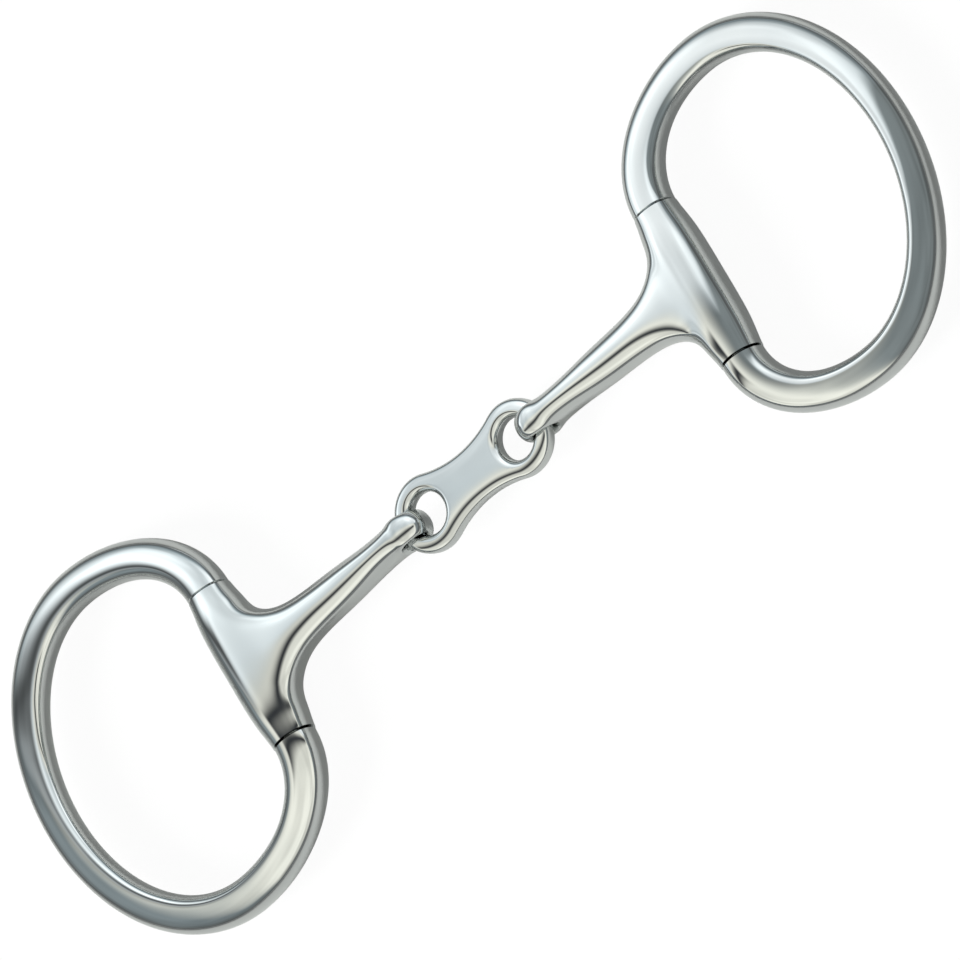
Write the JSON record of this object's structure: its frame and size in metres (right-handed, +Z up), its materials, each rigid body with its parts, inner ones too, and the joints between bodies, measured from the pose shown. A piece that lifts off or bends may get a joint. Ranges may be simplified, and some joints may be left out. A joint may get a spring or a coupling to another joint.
{
  "type": "snaffle bit",
  "caption": "Jointed snaffle bit lying flat: oval cheek rings turn in barrel ends of tapered cannons, whose eyes fold about a flat waisted centre link. Takes reins and cheekpieces.",
  "frame": {"origin": "on the ground under the middle of the centre link", "axes": "+X along the mouthpiece towards the right cheek ring, +Y along the barrels, +Z up, square to the flat of the centre link"},
  "size_m": [0.2656, 0.0878, 0.0122],
  "materials": {
    "link_steel": "mirror-polished stainless steel",
    "left_cannon_steel": "mirror-polished stainless steel",
    "right_cannon_steel": "mirror-polished stainless steel",
    "left_ring_steel": "mirror-polished stainless steel",
    "right_ring_steel": "mirror-polished stainless steel"
  },
  "bodies": {
    "link": {"centre_link": "link_steel"},
    "left_cannon": {"left_cannon": "left_cannon_steel"},
    "right_cannon": {"right_cannon": "right_cannon_steel"},
    "left_ring": {"left_cheek_ring": "left_ring_steel"},
    "right_ring": {"right_cheek_ring": "right_ring_steel"}
  },
  "joints": [
    {"name": "left_link_fold", "type": "hinge", "parent": "link", "child": "left_cannon", "pos_m": [-0.0202, 0, 0.0061], "axis": [0, 1, 0], "range_deg": [-45, 45]},
    {"name": "right_link_fold", "type": "hinge", "parent": "link", "child": "right_cannon", "pos_m": [0.0202, 0, 0.0061], "axis": [0, -1, 0], "range_deg": [-45, 45]},
    {"name": "left_ring_swing", "type": "hinge", "parent": "left_cannon", "child": "left_ring", "pos_m": [-0.0696, 0, 0.0061], "axis": [0, 1, 0], "range_deg": [-95, 95]},
    {"name": "right_ring_swing", "type": "hinge", "parent": "right_cannon", "child": "right_ring", "pos_m": [0.0696, 0, 0.0061], "axis": [0, -1, 0], "range_deg": [-95, 95]}
  ]
}
